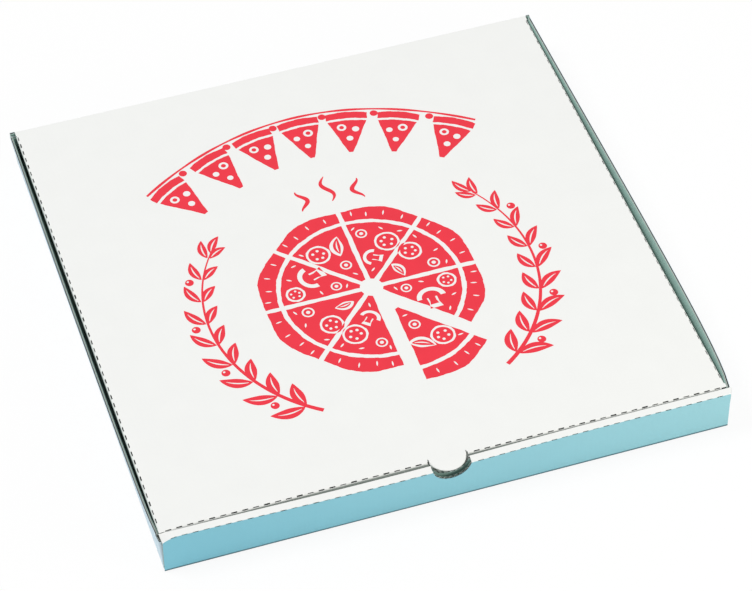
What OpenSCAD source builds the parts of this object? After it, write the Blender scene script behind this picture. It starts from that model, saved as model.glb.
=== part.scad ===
// Pizza box folded from one sheet of fine corrugated board: a tray with a rolled front wall, and a hinged lid.
// Millimetres. The box stands on z = 0, its front faces -y, and the lid turns about the top of the back wall.

/* [Box] */
// Width over the side walls
box_w = 360; // [260:1:500]
// Depth from the front face to the back face
box_d = 360; // [260:1:500]
// Height over the closed lid
box_h = 29.5; // [28:0.5:60]
// How far each end of the front wall stands in from the side of the box
front_in = 1.2; // [0.2:0.1:3]

/* [Board] */
// Thickness of the board
board = 1.7; // [1:0.1:2]
// Outer radius of a fold
fold_r = 0.8; // [0.3:0.1:0.9]
// Space between two layers of board that lie side by side
layer_gap = 0.3; // [0.1:0.05:0.5]

/* [Lid] */
// Space between a side flap of the lid and the side wall
side_gap = 0.6; // [0.4:0.1:4]
// Depth of the lid flaps below the top of the lid
flap_h = 21; // [14:0.5:23]
// How far the ends of a lid flap slope in over their depth
flap_slope = 10; // [2:0.5:20]
// Space left in front of the front flap while the lid swings up
swing_clear = 0.3; // [0.2:0.05:1]
// Space between the lid and the back wall at the hinge
hinge_gap = 0.15; // [0.1:0.05:0.3]
// Length of the lid next to the hinge that has no side flap
hinge_free = 2.5; // [2:0.5:10]
// Space between neighbouring lid flaps at a front corner
flap_apart = 1.2; // [0.5:0.1:3]

/* [Thumb tab] */
// Radius of the thumb tab
tab_r = 12; // [9:0.5:16]
// How far the tab reaches out from the front crease of the lid
tab_reach = 8.8; // [5:0.1:10]
// How much larger the radius of the notch in the front wall is
notch_clear = 0.4; // [0.2:0.1:2]
// Length of the relief cut at each root of the tab
tab_relief = 3.1; // [2:0.1:4]

/* [Corner flaps and locks] */
// Length of a corner flap
corner_l = 70; // [30:1:90]
// Slope at the free end of a corner flap
corner_slope = 9; // [2:0.5:20]
// Free height between a corner flap and the panels above and below it
corner_clear = 0.4; // [0.2:0.1:1]
// Width of a lock tab at the foot of the inner front wall
lock_w = 34; // [15:1:50]
// Width by which each side of a lock tab tapers
lock_taper_w = 0.8; // [0.2:0.1:2]

/* [Perforated creases] */
// Length of one cut
cut_len = 3.6; // [1.5:0.1:4.5]
// Least distance from one cut to the next
cut_pitch = 6.6; // [5.5:0.1:11]
// Width of a cut that the fold has opened
cut_w = 0.9; // [0.3:0.05:1.1]
// Depth of a cut
cut_depth = 1; // [0.4:0.05:1.2]
// Whole board left beside the thumb tab, and at the front end of a side crease
cut_start = 4.8; // [2:0.2:10]
// Whole board left at the other end of a row of cuts
cut_end = 1.2; // [0.6:0.2:6]

/* [Hidden] */
$fn = 96;
fold_fn = 40;
over = 1;
half_w = box_w / 2;
half_d = box_d / 2;
layer = board + layer_gap;
lap = (board - fold_r) / 2;
ridge_w = 2 * layer + board;
ridge_in = -half_d + ridge_w;
inner_half = half_w - board - layer_gap;
wall_half = half_w - front_in;
lock_x = box_w / 4;
wall_y = half_d - layer - board;

// The hinge line lies in the middle of the board, at the top of the back wall.
hinge_y = half_d - board / 2;
hinge_z = box_h - board / 2;

// The foot of the front flap swings forward by this much before it is clear of the ridge.
swing_reach = hinge_y - ridge_in;
swing_drop = flap_h - board / 2;
swing = sqrt(pow(swing_reach, 2) + pow(swing_drop, 2)) - swing_reach;

lid_half = half_w - board - side_gap;
lid_front = ridge_in + swing + swing_clear;
lid_back = hinge_y - board / 2 - hinge_gap;
lid_under = box_h - board;
front_half = lid_half - board - flap_apart;
side_from = lid_front + board + flap_apart;
side_to = lid_back - hinge_free;

// Tab and notch are circles in the flat sheet. Their centres stand back from the crease that they cross.
tab_in = tab_r - tab_reach;
tab_half = sqrt(pow(tab_r, 2) - pow(tab_in, 2));
notch_r = tab_r + notch_clear;
tab_hole_r = norm([tab_half, tab_in + board]) + cut_w / 2;

// Both front creases have the same rows of cuts, one on each side of the tab. The cuts open the round of the fold.
cut_in = fold_r * (1 - sqrt(0.5));
front_row = [tab_half + cut_start, front_half - cut_end];
side_row = [side_from + cut_start, side_to - cut_end];

// Box between two opposite corners.
module block(p, q) translate(p) cube(q - p);

// Section drawn as [y, z], carried along x from -half to half.
module along_x(half) translate([-half, 0, 0]) rotate([90, 0, 90]) linear_extrude(2 * half) children();

// Section drawn as [x, z], carried along y.
module along_y(from, to) translate([0, to, 0]) rotate([90, 0, 0]) linear_extrude(to - from) children();

// Panel drawn as [y, z], one board thick towards +x from x.
module panel_yz(x) translate([x, 0, 0]) rotate([90, 0, 90]) linear_extrude(board) children();

// Panel drawn as [x, z], one board thick towards +y from y.
module panel_xz(y) along_y(y, y + board) children();

// Section of a square fold with its outer corner, rounded, at the origin. It laps into the panels on both sides.
module fold() {
    translate([fold_r, 0]) square([board - fold_r + lap, board]);
    translate([0, fold_r]) square([board, board - fold_r + lap]);
    intersection() {
        square(fold_r);
        translate([fold_r, fold_r]) circle(fold_r, $fn = fold_fn);
    }
}

// Section of a strip of board: before each run of the list the strip folds by a right angle.
module strip(runs, i = 0) {
    fold();
    translate([board, 0]) square([runs[i], board]);
    if (i < len(runs) - 1)
        translate([2 * board + runs[i], 0]) rotate(90) strip(runs, i + 1);
}

// Panel outline that hangs from a crease at z = top and narrows downwards.
module hanging(from, to, top, bottom, slope_from, slope_to)
    polygon([[from, top], [to, top], [to - slope_to, bottom], [from + slope_from, bottom]]);

// Row of crease cuts from x = row[0] to x = row[1], spread evenly. The outer corner of the fold lies on the x axis,
// the panel towards +y and the flap towards -z.
module cut_row(row) {
    space = row[1] - row[0] - cut_len;
    n = floor(space / cut_pitch);
    for (i = [0 : n])
        translate([row[0] + cut_len / 2 + i * space / n, cut_in, -cut_in])
            rotate([45, 0, 0]) cube([cut_len, cut_w, 2 * cut_depth], center = true);
}

// Rows of cuts in a front crease at y.
module front_cuts(y)
    for (s = [0, 1]) mirror([s, 0, 0]) translate([0, y, box_h]) cut_row(front_row);

// Outlines of both lock tabs down to z = foot. They start inside the inner wall.
module lock_outline(foot, grow = 0)
    for (s = [-1, 1])
        translate([s * lock_x, 0])
            hanging(-lock_w / 2 - grow, lock_w / 2 + grow, 2 * layer, foot, lock_taper_w, lock_taper_w);

module base()
    difference() {
        block([-half_w + board, -half_d + board, 0], [half_w - board, half_d - board, board]);
        along_y(ridge_in - board - layer_gap, ridge_in + layer_gap) lock_outline(-board, layer_gap);
    }

// Outer wall, ridge and inner wall in one strip, with the thumb notch and the lock tabs.
module rolled_front() {
    difference() {
        along_x(wall_half)
            translate([-half_d, 0]) mirror([1, -1])
                strip([box_h - 2 * board, ridge_w - 2 * board, lid_under - board - layer_gap]);
        for (s = [0, 1]) mirror([s, 0, 0])
            block([inner_half, ridge_in - board - layer_gap / 2, -over], [half_w + over, ridge_in + over, lid_under]);
        along_y(-half_d - over, ridge_in + over) translate([0, box_h + ridge_w / 2]) circle(notch_r);
        translate([0, -half_d + ridge_w / 2, lid_under]) cylinder(r = notch_r, h = board + over);
        front_cuts(-half_d);
    }
    panel_xz(ridge_in - board) lock_outline(0);
}

// Left side wall. Its front end stands under the ridge.
module side_wall() {
    step_y = ridge_in + layer_gap;
    step_z = lid_under - layer_gap;
    along_y(-wall_y, wall_y) translate([-half_w, 0]) mirror([1, -1]) fold();
    panel_yz(-half_w)
        polygon([
            [-wall_y, board], [wall_y, board], [wall_y, box_h],
            [step_y, box_h], [step_y, step_z], [-wall_y, step_z]
        ]);
}

// Corner flap at the front end of the left side wall.
module corner_flap(top) {
    foot = board + corner_clear;
    translate([-half_w, -half_d + layer, foot]) linear_extrude(top - foot) fold();
    panel_xz(-half_d + layer)
        hanging(-half_w + board, -half_w + board + corner_l, foot, top, 0, corner_slope);
}

// The top of the wall is round about the hinge line, so the lid turns past it.
module back_wall()
    along_x(half_w) {
        translate([half_d, 0]) mirror([1, 0]) mirror([1, -1]) fold();
        translate([half_d - board, board]) square([board, hinge_z - board]);
        translate([hinge_y, hinge_z])
            intersection() {
                circle(board / 2);
                translate([-board, -lap]) square([2 * board, board + lap]);
            }
    }

module tray()
    color("LightBlue") {
        base();
        rolled_front();
        back_wall();
        for (s = [0, 1]) mirror([s, 0, 0]) {
            side_wall();
            corner_flap(lid_under - layer_gap);
            mirror([0, 1, 0]) corner_flap(lid_under - corner_clear);
        }
    }

module lid_panel() {
    block([-lid_half + board, lid_front + board, lid_under], [lid_half - board, lid_back, box_h]);
    for (s = [0, 1]) mirror([s, 0, 0]) {
        block([front_half - lap, lid_front, lid_under], [lid_half, side_from + lap, box_h]);
        block([lid_half - board - lap, side_to - lap, lid_under], [lid_half, lid_back, box_h]);
    }
}

module lid_front_flap()
    difference() {
        union() {
            along_x(front_half) translate([lid_front, box_h]) mirror([0, 1]) fold();
            panel_xz(lid_front)
                hanging(-front_half, front_half, lid_under, box_h - flap_h, flap_slope, flap_slope);
        }
        along_y(lid_front - over, lid_front + board + over) translate([0, box_h + tab_in]) circle(tab_hole_r);
    }

module lid_side_flap() {
    along_y(side_from, side_to) translate([-lid_half, box_h]) mirror([0, 1]) fold();
    panel_yz(-lid_half)
        hanging(side_from, side_to, lid_under, box_h - flap_h, flap_slope, flap_slope);
}

// The tab stays in the plane of the lid when the front flap folds down.
module thumb_tab()
    translate([0, 0, lid_under]) linear_extrude(board)
        intersection() {
            translate([0, lid_front + tab_in]) circle(tab_r);
            translate([-tab_half, lid_front - tab_reach - over]) square([2 * tab_half, tab_reach + board + 2 * over]);
        }

module lid()
    color("WhiteSmoke") difference() {
        union() {
            lid_panel();
            lid_front_flap();
            thumb_tab();
            for (s = [0, 1]) mirror([s, 0, 0]) lid_side_flap();
        }
        front_cuts(lid_front);
        for (s = [0, 1]) mirror([s, 0, 0]) {
            translate([lid_half, 0, box_h]) rotate(90) cut_row(side_row);
            translate([tab_half, lid_front, box_h])
                cube([cut_w, 2 * tab_relief, 2 * board + over], center = true);
        }
    }

tray();
lid();
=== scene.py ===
"""Dresses the folded pizza box: board with liners and flutes, bent hinge skin, print and studio."""

import math
from types import SimpleNamespace

import bpy
import numpy as np
from bpy.props import FloatProperty, FloatVectorProperty, PointerProperty
from bpy.types import Operator, Panel, PropertyGroup
from mathutils import Matrix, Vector
from mathutils.geometry import delaunay_2d_cdt


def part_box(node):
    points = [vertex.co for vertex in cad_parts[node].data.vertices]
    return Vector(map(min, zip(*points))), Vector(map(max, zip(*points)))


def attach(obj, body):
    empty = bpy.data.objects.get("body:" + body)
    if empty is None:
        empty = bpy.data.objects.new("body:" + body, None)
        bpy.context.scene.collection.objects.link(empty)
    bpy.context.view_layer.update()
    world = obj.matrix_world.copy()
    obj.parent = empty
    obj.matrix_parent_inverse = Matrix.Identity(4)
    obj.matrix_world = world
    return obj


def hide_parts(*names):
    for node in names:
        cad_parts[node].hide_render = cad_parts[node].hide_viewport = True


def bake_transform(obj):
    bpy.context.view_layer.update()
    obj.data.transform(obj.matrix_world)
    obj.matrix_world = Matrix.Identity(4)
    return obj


bl_info = {
    "name": "Folded pizza box",
    "version": (1, 0, 0),
    "blender": (4, 5, 0),
    "location": "View3D > Sidebar > Box",
    "description": "Builds the look of a folded corrugated pizza box over its CAD frame",
    "category": "Object",
}

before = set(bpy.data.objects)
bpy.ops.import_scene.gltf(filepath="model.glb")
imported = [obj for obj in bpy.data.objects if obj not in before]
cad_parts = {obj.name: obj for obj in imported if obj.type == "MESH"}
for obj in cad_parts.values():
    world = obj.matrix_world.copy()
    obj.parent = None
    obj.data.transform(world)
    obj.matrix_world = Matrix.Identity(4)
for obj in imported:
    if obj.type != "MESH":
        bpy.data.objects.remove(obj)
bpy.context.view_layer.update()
MM = 0.001
QUARTER = math.pi / 2

# Grid lines closer together than MERGE and points closer than WELD become one, in millimetres.
MERGE = 0.02
WELD = 0.002
TINY = 1e-6


def length(label, about, millimetres):
    """Setting that holds a length, written here in millimetres."""
    return FloatProperty(name=label, description=about, default=millimetres * MM, precision=5, unit="LENGTH")


def angle(label, about, degrees):
    """Setting that holds an angle, written here in degrees."""
    return FloatProperty(name=label, description=about, default=math.radians(degrees), unit="ROTATION")


def colour(label, about, *rgb):
    """Setting that holds a linear colour."""
    return FloatVectorProperty(name=label, description=about, default=rgb, subtype="COLOR", min=0.0, max=1.0)


def number(label, about, value, unit="NONE"):
    """Setting that holds a plain number, a power or a focal length."""
    return FloatProperty(name=label, description=about, default=value, unit=unit)


class BoardSettings(PropertyGroup):
    """Make-up of the board and its folds."""

    board: length("Board", "Thickness of the board", 1.7)
    liner: length("Liner", "Thickness of one liner", 0.26)
    medium: length("Medium", "Thickness of the fluted sheet", 0.18)
    flute: length("Flute pitch", "Distance from one flute to the next", 3.3)
    fold_r: length("Fold radius", "Outer radius of a fold", 0.8)
    front_r: length("Front fold radius", "Outer radius of the lid's front fold, which is less tight", 1.2)
    side_r: length("Side fold radius", "Outer radius of the lid's side folds, which are looser still", 1.6)
    inner_r: length("Inner radius", "Radius of the inner liner in a fold", 0.2)
    core_r: length("Core radius", "Radius of the fluted sheet in a fold", 0.4)
    layer_gap: length("Layer gap", "Space between two layers of board that lie side by side", 0.3)
    film: length("Ink film", "Thickness of the printed film", 0.03)
    film_lift: length("Film lift", "Height of the film's upper side over the lid", 0.04)


class GiveSettings(PropertyGroup):
    """How the folded box gives way, and how high the painted shadow at the foot of the front wall reaches."""

    bow_left: length("Left bow", "How far the top of the left wall bows out", 3.15)
    bow_right: length("Right bow", "How far the top of the right wall bows out", 4.1)
    arch: number("Arch", "Share of a whole arch that the bow of a side wall takes up", 0.6)
    skew_left: number("Left skew", "Power of the place along the left wall's arch", 0.4)
    skew_right: number("Right skew", "Power of the place along the right wall's arch", 0.355)
    power_left: number("Left power", "Power of the height of the left wall's arch", 0.5)
    power_right: number("Right power", "Power of the height of the right wall's arch", 1.67)
    taper: length("Taper", "How much further in the feet of the side walls stand at the back", 1.0)
    bulge: length("Front bulge", "How far the top of the front wall bulges out left of the tab", 1.55)
    bulge_x: length("Bulge place", "Middle of the bulge along the front", -40.0)
    bulge_half: length("Bulge length", "Half the length of the bulge", 140.0)
    tilt: length("Ridge tilt", "How far the outer edge of the ridge sinks at the bulge", 0.65)
    sag: length("Corner sag", "How far the ridge's front left corner is pressed down", 3.4)
    sag_reach: length("Sag reach", "How far along the ridge the pressed corner reaches", 10.0)
    shift: length("Lid shift", "How far the lid sits to the left", 0.3)
    spread: length("Lid spread", "How far each side of the lid is pressed out at the front", 1.3)
    draw: length("Lid draw", "How far each side of the lid is drawn in at the back", 0.3)
    push: length("Corner push", "How far the lid's front left corner is pushed against the ridge", 0.85)
    push_reach: length("Push reach", "How far along the front edge the pushed corner reaches", 30.0)
    flare_left: length("Left flare", "How far the ridge's left end stands out at its inner edge", 0.9)
    flare_right: length("Right flare", "How far the ridge's right end stands out at its inner edge", 3.0)
    flare_back: length("Back flare", "How far the back wall's left end stands out at its top", 1.1)
    # Height of the dark band at the foot of the front wall, which is a painted contact shadow.
    scuff_h: length("Shadow height", "How far the scuffed foot of the front wall reaches up", 0.9)
    droop: length("Tab droop", "How far the tip of the thumb tab is pressed in", 1.0)


class ShapeSettings(PropertyGroup):
    """Cuts and flaps of the sheet."""

    flap_slope: length("Flap slope", "How far the ends of a lid flap slope in", 10.0)
    flap_apart: length("Flaps apart", "Space between neighbouring lid flaps", 1.2)
    hinge_free: length("Hinge free", "Length of the lid next to the hinge that has no flap", 2.5)
    front_in: length("Front inset", "How far each end of the front wall stands in from the side", 1.2)
    tab_r: length("Tab radius", "Radius of the thumb tab", 12.0)
    tab_reach: length("Tab reach", "How far the tab reaches out from the front crease", 8.8)
    tab_relief: length("Tab relief", "Length of the relief cut at each root of the tab", 2.5)
    notch_clear: length("Notch clearance", "How much larger the notch's radius is than the tab's", 0.4)
    corner_l: length("Corner flap", "Length of a corner flap", 70.0)
    corner_slope: length("Corner slope", "Slope at the free end of a corner flap", 9.0)
    corner_clear: length("Corner clearance", "Free height above and below a corner flap", 0.4)
    lock_w: length("Lock width", "Width of a lock tab", 34.0)
    lock_taper: length("Lock taper", "Width by which each side of a lock tab tapers", 0.8)
    cut_len: length("Cut length", "Length of a crease cut", 3.6)
    cut_pitch: length("Cut pitch", "Least distance from one crease cut to the next", 6.6)
    cut_w: length("Cut width", "Width of a crease cut that the fold has opened", 1.1)
    ridge_cut_w: length("Ridge cut width", "Width of a cut in the ridge or beside the tab", 0.6)
    flap_lean: angle("Flap lean", "How far the lid's flaps lean in under the lid", 7.0)
    side_turn: angle("Side cut turn", "Place of a cut on the round of a side fold", 30.0)
    cut_start: length("Cut start", "Whole board beside the tab and at the front end of a side crease", 4.8)
    cut_end: length("Cut end", "Whole board at the other end of a row of cuts", 1.2)


class LookSettings(PropertyGroup):
    """Colours of the board and of the print."""

    white: colour("White liner", "Lid, ridge and base", 0.93, 0.94, 0.925)
    # Blue of the front wall: painted shade, the white card's shaded side with its blue cast.
    blue: colour("Blue liner", "Front wall at its left end", 0.23, 0.575, 0.705)
    # Lighter, greener blue at the right end of the front wall: painted sheen.
    faded: colour("Blue with painted sheen", "Front wall at its right end", 0.325, 0.625, 0.695)
    # Pale blue of the side and back walls: painted shade on the white card, lighter than on the front wall.
    pale: colour("Pale liner", "Side and back walls", 0.60, 0.74, 0.82)
    # Greyer flap colour: painted shade for the gaps between the lid and the walls.
    flap: colour("Flap liner", "Outer side of the lid's flaps, greyer than the lid", 0.55, 0.61, 0.575)
    # Grey-green of the inside, darkened after the shaded band inside the right wall: it holds painted shade.
    inside: colour("Inner liner", "Inside of the box", 0.39, 0.585, 0.53)
    # Near black of the liners' glued side, seen in cuts and slots: partly its own colour, partly painted
    # shade.
    raw: colour("Raw paper", "Glued side of the liners", 0.10, 0.11, 0.10)
    medium: colour("Medium", "Fluted sheet", 0.55, 0.61, 0.57)
    red: colour("Red ink", "Print on the lid", 0.93, 0.035, 0.062)
    # Dark blue-grey fold at the foot of the front wall: painted contact shadow.
    scuff: colour("Painted foot shadow", "Outer fold at the foot of the front wall", 0.09, 0.19, 0.23)


class StageSettings(PropertyGroup):
    """Camera and light."""

    azimuth: angle("Azimuth", "Camera angle about the vertical, 0 in front of the box", -17.949)
    elevation: angle("Elevation", "Camera angle above the floor", 46.959)
    roll: angle("Roll", "Camera turn about its own axis", -0.421)
    distance: length("Distance", "From the camera to the point that it looks at", 2100.3)
    aim_x: length("Aim x", "Point on the floor in the middle of the picture", 8.99)
    aim_y: length("Aim y", "Point on the floor in the middle of the picture", -7.92)
    lens: number("Lens", "Focal length for a sensor 36 mm wide", 158.28, "CAMERA")
    sky: number("Sky", "Strength of the even white light from all sides", 0.6)
    key: number("Key", "Power of the soft light from high on the left", 130.0, "POWER")
    right: number("Right fill", "Power of the low light from the right front", 5.0, "POWER")
    backdrop: number("Backdrop", "Share of plain white in the floor as the camera sees it", 0.9)


def plan():
    """Named sizes of the box in millimetres: outer ones from the CAD frame, the rest from the settings."""
    scene = bpy.context.scene
    p = SimpleNamespace()
    for group in (scene.box_board, scene.box_give, scene.box_shape):
        for key in group.__annotations__:
            is_length = group.bl_rna.properties[key].unit == "LENGTH"
            setattr(p, key, getattr(group, key) / (MM if is_length else 1))
    p.lean = math.tan(p.flap_lean)
    high = np.array(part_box("tray")[1]) / MM
    lid_low, lid_high = (np.array(corner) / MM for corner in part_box("lid"))
    p.half_w, p.half_d, p.top = high
    p.layer = p.board + p.layer_gap
    p.ridge = 2 * p.layer + p.board
    p.wall_half = p.half_w - p.front_in
    p.inner_half = p.wall_half - p.layer
    p.hinge_y, p.hinge_z = p.half_d - p.board / 2, p.top - p.board / 2
    p.lid_half, p.lid_back = lid_high[0], lid_high[1]
    p.flap_h = p.top - lid_low[2]
    p.lid_front = -lid_low[1] - p.tab_reach
    p.tab_in = p.tab_r - p.tab_reach
    p.tab_half = math.sqrt(p.tab_r**2 - p.tab_in**2)
    p.tab_hole_r = math.hypot(p.tab_half, p.tab_in + p.board) + p.cut_w / 2
    p.tab_hole_half = math.sqrt(p.tab_hole_r**2 - p.tab_in**2)
    p.notch_r = p.tab_r + p.notch_clear
    p.front_half = p.lid_half - p.board - p.flap_apart
    p.side_from, p.side_to = -(p.lid_back - p.hinge_free), p.lid_front - p.board - p.flap_apart
    p.lock_x, p.lock_half = p.half_w / 2, p.lock_w / 2
    p.skin_z, p.skin_y = p.hinge_z - 1.5 * p.board, p.hinge_y - 2 * p.board
    slit = both([p.cut_w / 2])
    p.front_slit = p.front_r * (0.5 * QUARTER - 1) + slit
    p.side_slit = p.side_r * (p.side_turn - 1) + slit
    p.front_cuts = both(cut_centres(p, p.tab_half + p.cut_start, p.front_half - p.cut_end))
    p.side_cuts = cut_centres(p, p.side_from + p.cut_end, p.side_to - p.cut_start)
    return p


def cut_centres(p, start, end):
    """Middles of the crease cuts that fill a row evenly, no closer together than their pitch."""
    n = math.floor((end - start - p.cut_len) / p.cut_pitch)
    return np.linspace(start + p.cut_len / 2, end - p.cut_len / 2, n + 1)


def fold(u, crease, radius):
    """Runs a sheet over a right-angled fold: flat up to the crease, a quarter circle, then straight down.

    u is the length along the sheet. Gives the reach in the plane, the drop below it and the angle turned."""
    turn = np.clip((u - crease + radius) / radius, 0.0, QUARTER)
    reach = np.minimum(u, crease - radius) + radius * np.sin(turn)
    past = u - (crease - radius + radius * QUARTER)
    return reach, radius * (1 - np.cos(turn)) + np.maximum(past, 0.0), turn


def length_at(drop, crease, radius):
    """Inverse of fold: the length along the sheet at which it has dropped this far."""
    turn = np.arccos(np.clip(1 - drop / radius, 0.0, 1.0))
    return crease - radius + radius * turn + np.maximum(drop - radius, 0.0)


def knots(*groups, apart=MERGE):
    """One rising list of grid lines. Lines closer together than apart become one."""
    line = np.sort(np.concatenate([np.atleast_1d(np.asarray(g, float)) for g in groups]))
    return line[np.concatenate([[True], np.diff(line) > apart])]


def both(values):
    """Values and their mirror images."""
    values = np.asarray(values, float)
    return np.concatenate([-values, values])


def arc_lines(crease, radius, steps=6):
    """Grid lines over the quarter circle of a fold."""
    return crease - radius + radius * np.linspace(0, QUARTER, steps + 1)


def stacked(*values):
    """Coordinates side by side along a last axis."""
    return np.stack(values, axis=-1)


def near(values, centres, half):
    """Marks the values that lie within half of any centre."""
    return (np.abs(np.asarray(values)[..., None] - centres) < half).any(-1)


def between(values, low, high):
    """Marks the values that lie between two limits."""
    return (values > low) & (values < high)


def gaping(p, across, slit, along, cuts, phase):
    """Opens the cuts of a crease unevenly: draws the lines across a slit to its middle.

    The share that stays open changes from cut to cut as a sum of two sines of the cut's number."""
    k = np.abs(along[..., None] - cuts).argmin(-1)
    middle, half = (slit[1] + slit[0]) / 2, (slit[1] - slit[0]) / 2
    mean, swing, ripple = 0.78, 0.13, 0.09
    gape = mean + swing * np.sin(2.4 * k + phase) + ripple * np.sin(4.1 * k + 2 * phase + 1)
    slack = 1.25 * MERGE
    at_cut = near(along, cuts, p.cut_len / 2 + slack) & (np.abs(across - middle) < half + slack)
    return np.where(at_cut, middle + gape * (across - middle), across)


def middles(u, w):
    """Middles of the cells between two lists of grid lines."""
    return np.meshgrid((u[1:] + u[:-1]) / 2, (w[1:] + w[:-1]) / 2, indexing="ij")


def surface(points, keep, flip, zone, across):
    """One gridded surface: points, cells that exist, the material zone of each, lengths across the flutes."""
    i = np.arange(points[..., 0].size).reshape(points.shape[:2])
    quads = stacked(i[:-1, :-1], i[1:, :-1], i[1:, 1:], i[:-1, 1:])[keep]
    zones = np.broadcast_to(zone, keep.shape)[keep]
    lengths = np.broadcast_to(across, i.shape).reshape(-1)
    return points.reshape(-1, 3), quads[:, ::-1] if flip else quads, zones, lengths


def weld(parts):
    """Joins surfaces, merges points in the same place and drops cells that have closed up."""
    starts = np.cumsum([0] + [len(part[0]) for part in parts[:-1]])
    points, zones, across = (np.concatenate([part[k] for part in parts]) for k in (0, 2, 3))
    quads = np.concatenate([part[1] + start for part, start in zip(parts, starts)])
    grain = np.round(points / WELD).astype(np.int64)
    _, first, index = np.unique(grain, axis=0, return_index=True, return_inverse=True)
    quads = index.reshape(-1)[quads]
    same = quads == np.roll(quads, -1, axis=1)
    shut = (quads[:, 0] == quads[:, 2]) | (quads[:, 1] == quads[:, 3]) | (same.sum(1) > 1)
    open_quads = ~same.any(1) & ~shut
    groups, kinds = [quads[open_quads]], [zones[open_quads]]
    for k in range(4):
        pick = same[:, k] & ~shut
        groups.append(np.delete(quads[pick], k, axis=1))
        kinds.append(zones[pick])
    used = np.unique(np.concatenate([g.ravel() for g in groups]))
    order = np.zeros(len(first), int)
    order[used] = np.arange(len(used))
    faces = [face for g in groups for face in order[g].tolist()]
    return points[first][used], faces, np.concatenate(kinds), across[first][used]


def add_mesh(name, points, faces, materials, thickness):
    """Makes a mesh object. Solidify gives it its thickness on the side away from view.

    The last material is that of the far side."""
    mesh = bpy.data.meshes.new(name)
    mesh.from_pydata((points * MM).tolist(), [], faces)
    for material in materials:
        mesh.materials.append(material)
    piece = bpy.data.objects.new(name, mesh)
    bpy.context.collection.objects.link(piece)
    if thickness:
        solid = piece.modifiers.new("thickness", "SOLIDIFY")
        solid.thickness, solid.offset = thickness * MM, -1.0
        solid.material_offset = len(materials) - 1
    return piece


def add_piece(name, parts, materials, thickness=0.0):
    """Makes a mesh object from surfaces, with the length across the flutes as an attribute."""
    points, faces, zones, across = weld(parts)
    piece = add_mesh(name, points, faces, materials, thickness)
    piece.data.polygons.foreach_set("material_index", np.asarray(zones, np.int32))
    flute = piece.data.attributes.new("flute", "FLOAT", "POINT")
    flute.data.foreach_set("value", np.asarray(across * MM, np.float32))
    piece.data.validate()
    return piece


def lid_lines(p, half, front, side_r, front_r, last, fine):
    """Grid lines of the lid across and along the flutes. Cuts, tab and flap ends have lines of their own."""
    end_u, end_w = length_at(last, half, side_r), length_at(last, front, front_r)
    tab = p.tab_hole_half * np.sin(np.linspace(0, QUARTER, 15))
    cut = p.cut_len / 2
    u = [both(arc_lines(half, side_r)), both(half + p.side_slit), both([end_u, p.front_half]), both(tab)]
    u += [both([p.tab_half, p.tab_half + p.ridge_cut_w]), p.front_cuts - cut, p.front_cuts + cut]
    u.append(p.push_reach * np.linspace(0, 1, 7) - half)
    w = [arc_lines(front, front_r), front + p.front_slit]
    w.append([-p.skin_y, p.side_from, p.side_to, p.lid_front - p.tab_relief])
    w.append(np.linspace(arc_lines(front, front_r)[-1], end_w, 16 if fine else 5))
    if fine:
        u.append(np.arange(-end_u, end_u, p.flute / 8))
    else:
        w += [p.side_cuts - cut, p.side_cuts + cut]
    return knots(*u), knots(*w)


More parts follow.
